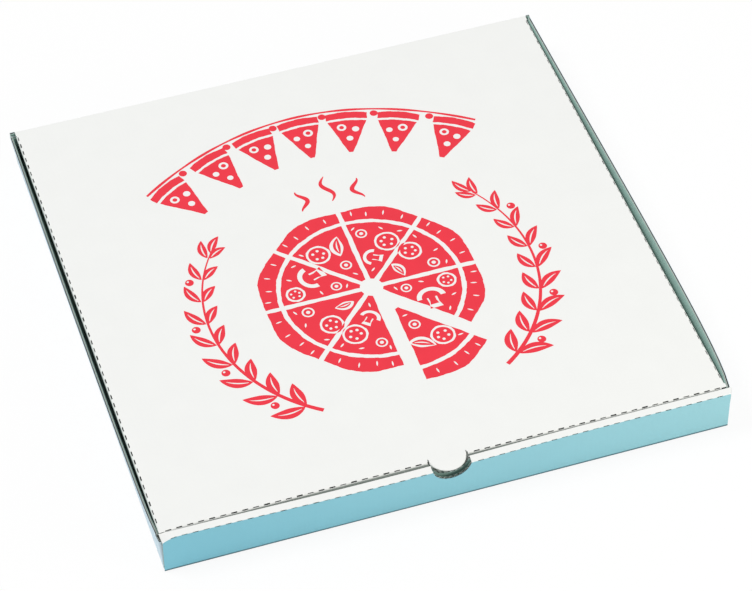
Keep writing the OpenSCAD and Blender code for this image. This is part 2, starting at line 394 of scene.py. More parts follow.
def lid_sheet(p, inset, side_r, front_r, flip, wave=None):
    """Lid panel with its three flaps and the thumb tab as one folded sheet, inset from the outer face.

    P(u, w) = (reach(u), -reach(w), top - drop(u) - drop(w)). Past the side creases w is held between the
    sloping ends of the side flaps, past the front crease u between those of the front flap, and w is held
    out of the hole that the tab leaves. The flaps lean in, and wave(u) lifts the sheet along its normal."""
    half, front, top = p.lid_half - inset, p.lid_front - inset, p.top - inset
    flat_u, flat_w = half - side_r, front - front_r
    u, w = lid_lines(p, half, front, side_r, front_r, p.flap_h - inset, wave is not None)
    grid_u, grid_w = np.meshgrid(u, w, indexing="ij")
    if inset == 0:
        sign = np.sign(grid_u)
        grid_w = gaping(p, grid_w, front + p.front_slit, grid_u, p.front_cuts, 0.0)
        grid_u = sign * gaping(p, np.abs(grid_u), half + p.side_slit, grid_w, p.side_cuts, sign)
    aside, ahead = np.abs(grid_u) > flat_u + TINY, grid_w > flat_w + TINY
    slope = p.flap_slope / (p.flap_h - p.board)
    narrow = slope * np.maximum(fold(np.abs(grid_u), half, side_r)[1] - p.board, 0)
    run_w = np.where(aside, np.clip(grid_w, p.side_from + narrow, p.side_to - narrow), grid_w)
    narrow = slope * np.maximum(fold(grid_w, front, front_r)[1] - p.board, 0)
    run_u = np.where(ahead, np.clip(grid_u, narrow - p.front_half, p.front_half - narrow), grid_u)
    hole = lambda x: np.sqrt(np.maximum(p.tab_hole_r**2 - x**2, 0)) - p.tab_in - inset
    shore = lambda x: length_at(np.maximum(hole(x), 0), front, front_r)
    run_w = np.where(ahead & (hole(run_u) > 0), np.maximum(run_w, shore(run_u)), run_w)

    reach_u, drop_u, turn_u = fold(np.abs(run_u), half, side_r)
    reach_w, drop_w, turn_w = fold(run_w, front, front_r)
    reach_u -= p.lean * np.maximum(drop_u - side_r, 0)
    reach_w -= p.lean * np.maximum(drop_w - front_r, 0)
    sign = np.sign(run_u)
    points = stacked(sign * reach_u, -reach_w, top - drop_u - drop_w)
    if wave is not None:
        normal = stacked(sign * np.sin(turn_u), -np.sin(turn_w), np.cos(turn_u) * np.cos(turn_w))
        points += normal * wave(run_u)[..., None]

    cu, cw = middles(u, w)
    out = np.abs(cu)
    panel = (out < flat_u) & (cw < flat_w)
    sides = (out > flat_u) & between(cw, p.side_from, p.side_to)
    in_hole = (hole(cu) > 0) & (np.broadcast_to(w[1:], cu.shape) <= shore(cu) + TINY)
    keep = panel | sides | ((cw > flat_w) & (out < p.front_half) & ~in_hole)
    beside_tab = between(out, p.tab_half, p.tab_half + p.ridge_cut_w)
    keep &= ~(beside_tab & between(cw, p.lid_front - p.tab_relief, flat_w))
    if wave is not None:
        keep &= ~between(out, flat_u - p.cut_w / 2, half + side_r)
        keep &= ~between(cw, flat_w - p.cut_w / 2, front + front_r)
    elif inset == 0:
        cut = p.cut_len / 2
        keep &= ~(near(cu, p.front_cuts, cut) & between(cw - front, *p.front_slit))
        keep &= ~(near(cw, p.side_cuts, cut) & between(out - half, *p.side_slit))
    # Outer faces of the flaps take the greyer flap colour, which is painted shade for the gaps beside the
    # lid.
    flap = (out > arc_lines(half, side_r)[-1]) | (cw > arc_lines(front, front_r)[-1])
    zone = np.where(flap & (inset == 0), 1, 0)
    parts = [surface(lid_settled(p, points), keep, flip, zone, run_u)]

    if wave is None:
        corners = (
            (flat_u, half, -p.skin_y, p.side_from),
            (flat_u, half, p.side_to, front),
            (p.front_half, flat_u, flat_w, front),
        )
        for low, high, start, stop in corners:
            for side in (-1, 1):
                corner_u = side * np.array([low, high])
                corner_w = knots(w[between(w, start, stop)], [start, stop])
                grid_u, grid_w = np.meshgrid(corner_u, corner_w, indexing="ij")
                points = stacked(grid_u, -grid_w, np.full_like(grid_u, top))
                whole = np.ones((1, len(corner_w) - 1), bool)
                parts.append(surface(lid_settled(p, points), whole, flip == (side > 0), 0, grid_u))

    tab_u = u[np.abs(u) <= p.tab_half + TINY]
    grid_u, share = np.meshgrid(tab_u, np.linspace(0, 1, 6), indexing="ij")
    rim = p.tab_in - p.lid_front - np.sqrt(np.maximum(p.tab_r**2 - grid_u**2, 0))
    points = stacked(grid_u, (share - 1) * flat_w + share * rim, top - p.droop * share**2)
    if wave is not None:
        points[..., 2] += wave(grid_u)
    parts.append(surface(lid_settled(p, points), np.ones((len(tab_u) - 1, 5), bool), flip, 0, grid_u))
    return parts


def lid_settled(p, points):
    """Lets the lid sit a little to the left, with its front left corner pushed against the ridge.

    Its sides are pressed out towards the front and drawn in towards the back."""
    x, y, z = np.moveaxis(points, -1, 0)
    ahead = np.clip((p.lid_back - y) / (p.lid_back + p.lid_front), 0, 1)
    corner = np.clip((p.push_reach - p.lid_half - x) / p.push_reach, 0, 1) * np.clip(-y / p.lid_front, 0, 1)
    wide = 1 + (p.spread * ahead - p.draw * (1 - ahead)) / p.lid_half
    return stacked(x * wide - p.shift, y - p.push * corner**2, z)


def foot_in(p, y):
    """How far in the foot of a side wall stands: flush with the front wall, and more towards the back."""
    return p.front_in + p.taper * np.clip((y + p.half_d) / (2 * p.half_d), 0, 1)


def flute_wave(p):
    """Height of the fluted sheet over the middle of the board: a sine across the flutes."""
    height = p.board / 2 - p.liner - p.medium / 2
    return lambda s: height * np.sin(2 * math.pi * s / p.flute)


def path_table(corners, radius, steps=6):
    """Right-angled path with rounded corners: lengths along it, points, normals and its straight runs."""
    c = np.asarray(corners, float)
    points, normals = [c[:1]], []
    for a, m, d in zip(c[:-2], c[1:-1], c[2:]):
        e, f = (m - a) / np.linalg.norm(m - a), (d - m) / np.linalg.norm(d - m)
        turn = np.linspace(0, QUARTER, steps + 1)[:, None]
        normals.append(np.sin(turn) * e - np.cos(turn) * f)
        points.append(m - radius * (e - f) + radius * normals[-1])
    line = np.concatenate([*points, c[-1:]])
    normals = np.concatenate([normals[0][:1], *normals, normals[-1][-1:]])
    s = np.concatenate([[0], np.cumsum(np.linalg.norm(np.diff(line, axis=0), axis=1))])
    return s, line, normals, [(s[k], s[k + 1]) for k in range(0, len(s), steps + 1)]


def flared(p, x, y, z):
    """How far the ends of the rolled front and of the back wall stand out along x.

    Each end of the ridge flares as the square of the place along its last tenth, more towards its inner edge.
    The left end of the back wall flares past the lid, in step with its height."""
    tenth = 0.1 * p.wall_half
    end = np.clip((np.abs(x) - p.wall_half + tenth) / tenth, 0, 1) ** 2
    front = end * np.where(x < 0, -p.flare_left, p.flare_right) * np.clip((z - p.skin_z) / p.board, 0, 1)
    front = front * np.clip((y + p.half_d) / p.ridge, 0, 1) * (y < 0)
    end = np.clip((-x - p.lid_half) / (p.half_w - p.lid_half), 0, 1)
    return front - p.flare_back * end * np.clip(z / p.top, 0, 1) * (y > 0)


def tray_strip(p, inset, radius, flip, zones, wave=None):
    """Back wall, base and rolled front as one strip of board: a path of right angles carried along x.

    P(x, s) = (x + flare, y(s), z(s)). At the ridge s is held out of the thumb notch, a circle in the flat
    sheet, so the strip is two grids that meet beside the notch."""
    d, top, inner = p.half_d - inset, p.top - inset, p.ridge - p.half_d - inset
    s, line, normals, runs = path_table(
        [(d, p.top), (d, inset), (-d, inset), (-d, top), (inner, top), (inner, 0.0)], radius
    )
    back_wall, base, front_wall, ridge, inner_wall = runs
    fine = wave is not None
    cut, locks = p.cut_len / 2, np.array([-p.lock_x, p.lock_x])
    slot_half, lock_half = p.lock_half + p.layer_gap, p.lock_half - p.lock_taper
    x = [both([p.half_w, p.half_w - radius, p.wall_half, p.inner_half, p.lid_half]), [0.0]]
    x += [both(p.notch_r * np.sin(np.linspace(0, QUARTER, 19))), p.front_cuts - cut, p.front_cuts + cut]
    x += [locks + k for k in both([slot_half, lock_half])]
    x.append(p.sag_reach * np.linspace(0, 1, 9) - p.wall_half)
    x.append(p.bulge_x + p.bulge_half * np.linspace(-1, 1, 29))
    if fine:
        x.append(np.arange(-p.half_w, p.half_w, p.flute / 8))
    x = knots(*x)
    at_base = lambda y: base[0] + (d - radius - y)
    slot = at_base(p.ridge - p.half_d + p.layer_gap), at_base(p.ridge - p.half_d - p.layer)
    foot, skin, crease = inner_wall[1] - p.layer, p.top - p.skin_z, (front_wall[1] + ridge[0]) / 2
    # The foot of the front wall, up to the shadow height, is coloured as a painted contact shadow.
    middle, shadowed = (ridge[0] + ridge[1]) / 2, front_wall[0] + p.scuff_h
    slit = crease + both([p.ridge_cut_w / 2])
    marks = [middle, shadowed, foot, skin, crease, *slot, *slit]
    steps = np.linspace(*front_wall, 3 if fine else 7), np.linspace(*base, 2 if fine else 9)
    lines = knots(s, marks, *steps, apart=2 * WELD)
    hole = np.sqrt(np.maximum(p.notch_r**2 - x**2, 0))
    back = np.minimum(hole, (inner + d) / 2) + np.maximum(hole - p.ridge / 2 - inset, 0)
    parts = []
    for lower in (True, False):
        part = lines[lines <= middle + TINY] if lower else lines[lines >= middle - TINY]
        run = np.minimum(part, middle - back[:, None]) if lower else np.maximum(part, middle + back[:, None])
        grid_x = np.broadcast_to(x[:, None], run.shape)
        if inset == 0:
            run = gaping(p, run, slit, grid_x, p.front_cuts, 2.0)
        y, z = (np.interp(run, s, line[:, k]) for k in (0, 1))
        lean = foot_in(p, y) * (1 - np.clip(z / p.top, 0, 1))
        flat = p.half_w - inset - radius
        widest = np.select([part < base[0], part <= base[1]], [p.half_w, flat], 2 * p.half_w) - lean
        points = stacked(np.clip(grid_x, -widest, widest) + flared(p, grid_x, y, z), y, z)
        if fine:
            lift = np.stack([np.interp(run, s, normals[:, k]) for k in (0, 1)], -1)
            points[..., 1:] += wave(grid_x)[..., None] * lift
        cx, cs = middles(x, part)
        out = np.abs(cx)
        places = [cs < base[0], cs < base[1], cs < ridge[1] + radius * QUARTER]
        widest = np.select(places, [p.half_w, p.half_w - radius, p.wall_half], p.inner_half)
        keep = (out < widest) & ~((cs > foot) & ~near(cx, locks, lock_half))
        keep &= ~(between(cs, *slot) & near(cx, locks, slot_half))
        keep &= ~((cs < skin) & (out < p.lid_half))
        if inset == 0:
            keep &= ~(near(cx, p.front_cuts, cut) & near(cs, np.array([crease]), p.ridge_cut_w / 2))
        elif fine:
            keep &= ~near(cs, np.array([crease]), p.cut_w)
        places = [cs < back_wall[1], cs < base[1], cs < shadowed, cs < crease]
        zone = np.select(places, zones[:4], zones[4])
        parts.append(surface(settled(p, points), keep, flip, zone, grid_x))
    return parts


def tray_side(p, inset, radius, flip, zone, wave=None):
    """Both side walls with their corner flaps, each one sheet folded at the base and at both ends.

    P(a, w) = (drop(w) - reach(a), +-reach(w), drop(a)): a runs out along the base and up the wall, w along
    the wall and round its ends into the corner flaps. Between its ends the wall leans out towards its top,
    which bows by sin(pi (arch share)^skew)^power along the wall."""
    half, end = p.half_w - inset, p.half_d - p.layer - inset
    rise = lambda z: length_at(np.maximum(np.asarray(z, float) - inset, 0), half, radius)
    foot, step = p.board + p.corner_clear, p.half_d - p.ridge - p.layer_gap
    front_top, back_top = p.top - p.layer, p.top - p.board - p.corner_clear
    tip = length_at(p.board - inset + p.corner_l, end, radius)
    a = [arc_lines(half, radius), rise([foot, front_top, back_top, p.top]), rise(np.linspace(foot, p.top, 7))]
    if wave is not None:
        a.append(np.arange(half - radius, rise(p.top), p.flute / 8))
    a = knots(*a)
    w = knots(both(arc_lines(end, radius)), both(np.linspace(end, tip, 3)[1:]), np.linspace(-step, step, 33))
    grid_a, grid_w = np.meshgrid(a, w, indexing="ij")
    reach_a, drop_a, turn_a = fold(grid_a, half, radius)
    slope = p.corner_slope * np.clip((inset + drop_a - foot) / (front_top - foot), 0, 1)
    run_w = np.clip(grid_w, slope - tip, tip - slope)
    reach_w, drop_w, turn_w = fold(np.abs(run_w), end, radius)
    sign = np.sign(run_w)
    points = stacked(drop_w - reach_a, sign * reach_w, inset + drop_a)
    if wave is not None:
        normal = stacked(-np.sin(turn_a) * np.cos(turn_w), sign * np.sin(turn_w), -np.cos(turn_a))
        points += normal * wave(grid_a - rise(p.top))[..., None]
    ca, cw = middles(a, w)
    ch = inset + fold(ca, half, radius)[1]
    wall = (cw > -step) | (ch < front_top)
    flap = (ch > foot) & (ch < np.where(cw < 0, front_top, back_top))
    keep = np.where(np.abs(cw) < end - radius, wall, flap)
    x, y, z = np.moveaxis(points, -1, 0)
    share, foot = np.clip((y + end) / (2 * end), 0, 1), foot_in(p, y)
    parts = []
    left = -1, p.bow_left, p.skew_left, p.power_left
    right = 1, p.bow_right, p.skew_right, p.power_right
    for side, bow, skew, power in (left, right):
        arch = np.sin(math.pi * (p.arch * share) ** skew) ** power * np.clip(z / p.top, 0, 1)
        points = stacked(side * ((bow + foot) * arch - foot - x), y, z)
        parts.append(surface(settled(p, points), keep, flip == (side < 0), zone, grid_a))
    return parts


def settled(p, points):
    """Lets the front of the tray give way, more so towards its top.

    The front bulges out left of the tab, where the outer edge of the ridge sinks as cos^2 along the bulge,
    and the ridge's front left corner is pressed down as a square."""
    x, y, z = np.moveaxis(points, -1, 0)
    rise, ahead = np.clip(z / p.top, 0, 1), np.clip((p.ridge - p.half_d - y) / p.ridge, 0, 1)
    front = np.clip((p.board + p.ridge - p.half_d - y) / p.board, 0, 1)
    swell = np.cos(QUARTER * np.clip((x - p.bulge_x) / p.bulge_half, -1, 1)) ** 2
    corner = np.clip((p.sag_reach - p.wall_half - x) / p.sag_reach, 0, 1) ** 2
    sunk = (p.tilt * swell + p.sag * corner) * ahead
    return stacked(x, y - p.bulge * swell * front * rise, z - sunk * rise)


def skin_strip(p, outer, steps=9):
    """Liner over the hinge crease: a thin closed section carried along x, round the hinge line."""
    turn = np.linspace(0, QUARTER, steps)
    bend = stacked(np.cos(turn), np.sin(turn))
    faces = []
    for depth in (p.board / 2, p.board / 2 - p.liner):
        if outer:
            path = np.array([p.hinge_y, p.hinge_z]) + depth * bend
        else:
            path = np.array([p.hinge_y, p.hinge_z]) - depth + p.inner_r * (bend - 1)
        faces.append(np.vstack([[path[0, 0], p.skin_z], path, [p.skin_y, path[-1, 1]]]))
    loop = np.vstack([faces[0], faces[1][::-1], faces[0][:1]])
    x = np.linspace(-p.lid_half, p.lid_half, 5)
    points = lid_settled(p, np.stack(np.broadcast_arrays(x[:, None], loop[:, 0], loop[:, 1]), -1))
    return surface(points, np.ones((len(x) - 1, len(loop) - 1), bool), outer, 0, points[..., 0])


def ring(radius, centre=(0.0, 0.0), n=40):
    """Points of a circle."""
    a = np.linspace(0, 2 * math.pi, n, endpoint=False)
    return np.asarray(centre) + radius * stacked(np.cos(a), np.sin(a))


def polar(radius, turn):
    """Points at a distance and a turn from the origin."""
    return stacked(radius * np.cos(turn), radius * np.sin(turn))


def placed(loop, turn, place):
    """A loop turned and moved to its place."""
    c, s = math.cos(turn), math.sin(turn)
    return np.asarray(loop) @ np.array([[c, s], [-s, c]]) + np.asarray(place)


def dense(loop, step):
    """A closed loop with points no further apart than step."""
    loop = np.vstack([loop, loop[:1]])
    s = np.concatenate([[0], np.cumsum(np.linalg.norm(np.diff(loop, axis=0), axis=1))])
    at = knots(s, np.linspace(0, s[-1], math.ceil(s[-1] / step) + 1), apart=0.1)[:-1]
    return np.stack([np.interp(at, s, loop[:, k]) for k in (0, 1)], -1)


def hand_cut(loop, amount, seed, step=1.6):
    """Uneven edge of a hand-cut printing block: points move along their normals by a sum of three sines."""
    loop = dense(loop, step)
    t = np.linspace(0, 2 * math.pi, len(loop), endpoint=False)
    along = np.roll(loop, -1, axis=0) - np.roll(loop, 1, axis=0)
    size = np.maximum(np.linalg.norm(along, axis=1), TINY)
    normal = stacked(along[:, 1], -along[:, 0]) / size[:, None]
    wobble = np.sin(5 * t + seed) + 0.7 * np.sin(11 * t + 2.3 * seed) + 0.5 * np.sin(23 * t + 4.1 * seed)
    return loop + normal * (amount * wobble / 2.2)[:, None]


def brush(line, half):
    """Outline of a stroke along a line with a half width at each of its points."""
    along = np.gradient(line, axis=0)
    normal = stacked(-along[:, 1], along[:, 0]) / np.linalg.norm(along, axis=1)[:, None]
    edge = normal * np.asarray(half)[:, None]
    return np.concatenate([line + edge, (line - edge)[::-1]])


def leaf(place, turn, long, width, rib=True):
    """Pointed leaf with an open midrib: half width sin(pi t) along a slightly bent middle line."""
    t = np.linspace(0, 1, 15)
    line = stacked(long * t, 0.09 * long * np.sin(math.pi * t))
    loops = [brush(line, width / 2 * np.sin(math.pi * t) ** 0.85 * (1.15 - 0.3 * t) + 0.02)]
    if rib:
        t = np.linspace(0.12, 0.8, 9)
        line = stacked(long * t, 0.09 * long * np.sin(math.pi * t))
        loops.append(brush(line, 0.42 * np.sin(math.pi * np.linspace(0.1, 0.95, 9))))
    return [placed(loop, turn, place) for loop in loops]


def mushroom(place, turn, size):
    """Cut mushroom: half a disc on a stem that widens to its foot."""
    a = np.linspace(0, math.pi, 15)
    stem = [(-0.36, 0.0), (-0.34, -0.5), (-0.46, -0.95), (0.46, -0.95), (0.34, -0.5), (0.36, 0.0)]
    return placed(size * np.vstack([stacked(np.cos(a), 0.9 * np.sin(a)), stem]), turn, place)


def topping(kind, place, turn, size):
    """One topping: the hole that it leaves in a slice and the inked shapes inside that hole."""
    if kind == "salami":
        turns = (0.3, 1.7, 2.9, 4.4, 5.5)
        dots = [ring(0.13 * size, np.add(place, polar(0.45 * size, turn + k)), 10) for k in turns]
        return hand_cut(ring(size, place), 0.22, size + turn), [[ring(size - 1.25, place), *dots]]
    if kind == "olive":
        return ring(size, place, 26), [[ring(size * 0.72, place, 24), ring(size * 0.34, place, 14)]]
    if kind == "leaf":
        inner = leaf(np.add(place, polar(1.6 - size / 2, turn)), turn, size - 2.6, size * 0.26)
        return leaf(np.add(place, polar(-size / 2, turn)), turn, size, size * 0.5, rib=False)[0], [inner]
    inner = mushroom(np.add(place, polar(-0.02 * size, turn)), turn, size * 0.86)
    return mushroom(place, turn, size * 1.32), [[inner]]


def slice_shapes(k, slices, centre, pull, gap=1.7):
    """One slice of a round: a wedge with topping holes and flecks, and its piece of crust with dents."""
    width = 2 * math.pi / slices
    mid = (k + 0.5) * width
    place = np.asarray(centre) + polar(pull, mid)
    a = np.linspace(-0.5, 0.5, 15) * width
    tip_r, wedge_r, crust_in, crust_out = 5.0, 46.0, 48.4, 57.0
    tip = polar(tip_r, a[::14] * (1 - gap / tip_r / width))[::-1]
    wedge = np.vstack([polar(wedge_r, a * (1 - gap / wedge_r / width)), tip])
    rim = polar(crust_out + 1.1 * np.cos(a / width * 6.3), a * 0.965)
    crust = np.vstack([rim, polar(crust_in, a[::-1] * 0.955)])
    kinds = (
        (("salami", 32, 0.27, 6.4), ("olive", 36, -0.28, 3.4), ("leaf", 17.5, 0.02, 11.0)),
        (("mushroom", 31, -0.2, 6.0), ("salami", 38.5, 0.27, 5.2), ("olive", 17, 0.05, 3.0)),
        (("leaf", 33, -0.24, 14.5), ("salami", 35, 0.22, 6.6), ("olive", 19.5, -0.02, 3.2)),
        (("salami", 33, -0.22, 6.8), ("olive", 38, 0.28, 3.2), ("mushroom", 20.5, 0.06, 4.3)),
    )[(3 * k) % 4]
    holes, shapes, spots = [], [], []
    for kind, radius, side, size in kinds:
        spot = polar(radius, side * width)
        hole, fills = topping(kind, spot, 1.9 * k + size, size)
        holes.append(hole)
        shapes += fills
        spots.append((spot, size))
    flecks = (42, -0.05), (42.3, -0.36), (42.2, 0.4), (25, 0.3), (26, -0.32), (24.5, -0.02), (11.5, 0.0)
    taper = np.sin(np.linspace(0.25, 2.9, 7))
    for j, (radius, side) in enumerate(flecks):
        spot = polar(radius, side * width)
        if all(np.linalg.norm(spot - s) > size + 2.4 for s, size in spots):
            line = spot + polar(np.linspace(-1.5, 1.5, 7), 0.8 * j + k)
            holes.append(brush(line, 0.5 * taper))
    dents = (52.6, -0.3), (53.6, -0.05), (52.2, 0.17), (53.4, 0.36)
    dents = [brush(polar(r + np.linspace(-1.7, 1.7, 7), f * width), 0.45 * taper) for r, f in dents]
    shapes.append([hand_cut(wedge, 0.28, k + 1.0), *holes])
    shapes.append([hand_cut(crust, 0.3, 2.0 * k + 0.4), *dents])
    return [[placed(loop, mid, place) for loop in loops] for loops in shapes]


def sprig_shapes(centre, radius, start, end, side):
    """Curved twig beside the round: a tapering stem on a circle with paired leaves and small fruits."""
    a = np.linspace(start, end, 40)
    line = np.asarray(centre) + polar(radius, a)
    shapes = [[brush(line, np.linspace(1.15, 0.35, 40))]]
    for j, t in enumerate(np.linspace(0.06, 0.97, 9)):
        turn = start + (end - start) * t
        grow = turn + math.copysign(QUARTER, end - start)
        root = np.asarray(centre) + polar(radius, turn)
        size = 19.0 - 6.0 * t
        for out in (1, -1):
            heading = grow + out * side * (0.72 - 0.2 * t)
            reach = size if out == 1 else 0.86 * size
            shapes.append(leaf(root + polar(1.4, heading), heading, reach, size * 0.36))
        if j % 2 and j < 8:
            fruit = root + polar(7.0, grow + side * 1.75)
            shapes.append([ring(2.3, fruit, 24), ring(0.65, fruit + np.array([-0.7, 0.8]), 10)])
    tip = np.asarray(centre) + polar(radius, end)
    heading = end + math.copysign(QUARTER, end - start)
    shapes.append(leaf(tip + polar(0.8, heading), heading, 13.0, 4.8))
    return shapes


def garland_shapes(middle, droop, half, count):
    """Garland of slices hung from a cord: the cord is a flat parabola, each slice hangs square to it."""
    past_end = 9
    x = np.linspace(-half - past_end, half + past_end, 60)
    cord = lambda v: stacked(v, middle - droop * v * v)
    shapes = [[brush(cord(x), 0.55 + 0.3 * np.cos(x / 9.0) ** 2)]]
    places = np.linspace(-half, half, count)
    a = np.linspace(-1, 1, 17)
    upper, lower = stacked(11.6 * a, -1.6 - 1.6 * a * a), stacked(11.2 * a, -6.6 - 1.2 * a * a)
    bar = np.vstack([upper, lower[::-1]])
    body = np.vstack([stacked(10.6 * a, -8.2 - 1.1 * a * a), [(1.2, -33.0), (-1.2, -33.0)]])
    layouts = (
        ((-3.4, -13.6, 2.6), (4.1, -15.4, 2.0), (0.3, -22.3, 1.9)),
        ((3.2, -13.9, 2.7), (-3.9, -16.3, 1.8), (0.2, -23.4, 1.7)),
    )
    for j, at in enumerate(places):
        turn = math.atan(-2 * droop * at)
        place = cord(np.array([at]))[0]
        spots = layouts[j % 2]
        loops = [hand_cut(body, 0.22, j + 0.7), *(ring(r, (u, v), 22) for u, v, r in spots)]
        shapes.append([placed(loop, turn, place) for loop in loops])
        shapes.append([placed(hand_cut(bar, 0.22, 3.0 * j), turn, place)])
        u, v, r = spots[0]
        shapes.append([placed(ring(r * 0.5, (u, v), 16), turn, place)])
    for at in (places[1:] + places[:-1]) / 2:
        shapes.append([ring(2.2, cord(np.array([at]))[0] - np.array([0, 3.6]), 24)])
    return shapes


def steam_shapes(centre):
    """Three rising wisps: tapering strokes along a sine."""
    t = np.linspace(0, 1, 24)
    shapes = []
    for x, y, size in ((-15, 0, 15.0), (0, 2.5, 19.0), (15, 0, 15.0)):
        line = stacked(x + 2.4 * np.sin(6.6 * t + 0.1 * x), y + size * t) + np.asarray(centre)
        shapes.append([brush(line, 1.25 * np.sin(math.pi * (0.06 + 0.88 * t)))])
    return shapes


def inked(loops, spots):
    """Even-odd rule: marks the spots from which a level ray crosses the loops an odd number of times."""
    a = np.concatenate(loops)
    b = np.concatenate([np.roll(loop, -1, axis=0) for loop in loops])
    x, y = spots[:, :1], spots[:, 1:]
    spans = (a[:, 1] > y) != (b[:, 1] > y)
    rise = np.where(spans, b[:, 1] - a[:, 1], 1.0)
    crossing = a[:, 0] + (y - a[:, 1]) / rise * (b[:, 0] - a[:, 0])
    return (spans & (x < crossing)).sum(1) % 2 == 1


def film(p, name, shapes, scale, material):
    """Ink film on the lid: all loops are triangulated together, and the cells inside any shape are kept."""
    loops = [loop for shape in shapes for loop in shape]
    starts = np.cumsum([0] + [len(loop) for loop in loops])
    index = [np.arange(len(loop)) + start for start, loop in zip(starts, loops)]
    edges = np.concatenate([np.column_stack([i, np.roll(i, -1)]) for i in index]).tolist()
    flat, _, cells, *_ = delaunay_2d_cdt(np.concatenate(loops).tolist(), edges, [], 0, 1e-5)
    flat, cells = np.array(flat), np.array(cells)
    middle = flat[cells].mean(1)
    keep = np.zeros(len(cells), bool)
    for shape in shapes:
        low, high = shape[0].min(0), shape[0].max(0)
        close = np.flatnonzero(((middle > low) & (middle < high)).all(1))
        keep[close] |= inked(shape, middle[close])
    used, faces = np.unique(cells[keep], return_inverse=True)
    points = np.column_stack([flat[used] * scale, np.full(len(used), p.top + p.film_lift)])
    return add_mesh(name, points, faces.reshape(-1, 3).tolist(), [material], p.film)


def add_node(tree, kind, inputs=(), **fields):
    """Adds a shader node. Each of its inputs is set to a value or linked from an output."""
    node = tree.nodes.new("ShaderNode" + kind)
    for key, value in fields.items():
        setattr(node, key, value)
    for key, value in dict(inputs).items():
        if isinstance(value, bpy.types.NodeSocket):
            tree.links.new(value, node.inputs[key])
        else:
            node.inputs[key].default_value = value
    return node


def paper_group():
    """Paper surface: cloudy tone, fine fibres and the faint washboard that the flutes press into a liner."""
    tree = bpy.data.node_groups.get("paper_surface")
    if tree:
        return tree
    tree = bpy.data.node_groups.new("paper_surface", "ShaderNodeTree")
    tree.interface.new_socket("Washboard", in_out="INPUT", socket_type="NodeSocketFloat")
    tree.interface.new_socket("Tone", in_out="OUTPUT", socket_type="NodeSocketFloat")
    tree.interface.new_socket("Normal", in_out="OUTPUT", socket_type="NodeSocketVector")
    washboard = tree.nodes.new("NodeGroupInput").outputs["Washboard"]
    place = add_node(tree, "TexCoord").outputs["Object"]
    cloud = add_node(tree, "TexNoise", {"Vector": place, "Scale": 60.0, "Detail": 5.0}).outputs["Fac"]
    grain = {"Vector": place, "Scale": 1400.0, "Detail": 3.0, "Distortion": 1.2}
    fibre = add_node(tree, "TexNoise", grain).outputs["Fac"]
    flute = add_node(tree, "Attribute", attribute_name="flute").outputs["Fac"]
    turns = 2 * math.pi / bpy.context.scene.box_board.flute
    phase = add_node(tree, "Math", {0: flute, 1: turns}, operation="MULTIPLY").outputs[0]
    wave = add_node(tree, "Math", {0: phase}, operation="SINE").outputs[0]
    pressed = {"Height": wave, "Strength": washboard, "Distance": 0.00012}
    board = add_node(tree, "Bump", pressed).outputs["Normal"]
    matted = {"Height": fibre, "Normal": board, "Strength": 0.12, "Distance": 0.00008}
    normal = add_node(tree, "Bump", matted).outputs["Normal"]
    tone = add_node(tree, "Mix", {"A": cloud, "B": fibre, "Factor": 0.3}).outputs["Result"]
    out = tree.nodes.new("NodeGroupOutput")
    tree.links.new(tone, out.inputs["Tone"])
    tree.links.new(normal, out.inputs["Normal"])
    return tree


# Shade of the thin places, roughness, specular level and strength of the washboard.
COATED = (0.98, 0.62, 0.3, 0.04)
FINISHES = {
    "inside": (0.92, 0.8, 0.2, 0.04),
    "raw": (0.85, 0.9, 0.1, 0.04),
    "medium": (0.85, 0.85, 0.15, 0.04),
    "red": (0.92, 0.5, 0.35, 0.0),
}


def paper(key):
    """Paper or ink in a colour of the settings, darkened a little where the shared paper surface is thin."""
    mat = bpy.data.materials.get(key)
    if mat:
        return mat
    rgb = getattr(bpy.context.scene.box_look, key)
    shade, roughness, specular, washboard = FINISHES.get(key, COATED)
    mat = bpy.data.materials.new(key)
    mat.use_nodes = True
    mat.diffuse_color = (*rgb, 1.0)
    tree = mat.node_tree
    shader = tree.nodes["Principled BSDF"]
    shader.inputs["Roughness"].default_value = roughness
    shader.inputs["Specular IOR Level"].default_value = specular
    skin = add_node(tree, "Group", node_tree=paper_group())
    skin.inputs["Washboard"].default_value = washboard
    ramp = add_node(tree, "ValToRGB", {"Fac": skin.outputs["Tone"]})
    thin, full = ramp.color_ramp.elements
    thin.position, full.position = 0.3, 0.7
    thin.color, full.color = (*(c * shade for c in rgb), 1.0), (*rgb, 1.0)
    tree.links.new(ramp.outputs["Color"], shader.inputs["Base Color"])
    tree.links.new(skin.outputs["Normal"], shader.inputs["Normal"])
    return mat


def blue_paper():
    """Front wall's blue, painted shade on the white card, lightened along x towards the right end by painted
    sheen.
    """
    mat = paper("blue")
    tree = mat.node_tree
    if "fade" in tree.nodes:
        return mat
    look, half = bpy.context.scene.box_look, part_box("tray")[1][0]
    # Painted sheen: the blue grows lighter towards the right end of the front wall.
    faded = (*(a / b for a, b in zip(look.faded, look.blue)), 1.0)
    full = tree.nodes["Color Ramp"].outputs["Color"]
    place = add_node(tree, "TexCoord").outputs["Object"]
    along = add_node(tree, "SeparateXYZ", {"Vector": place}).outputs["X"]
    fade = add_node(tree, "MapRange", {"Value": along, "From Min": -half, "From Max": half}, name="fade")
    mixed = {"Fac": fade.outputs["Result"], "Color1": full, "Color2": faded}
    tint = add_node(tree, "MixRGB", mixed, blend_type="MULTIPLY").outputs["Color"]
    tree.links.new(tint, tree.nodes["Principled BSDF"].inputs["Base Color"])
    return mat


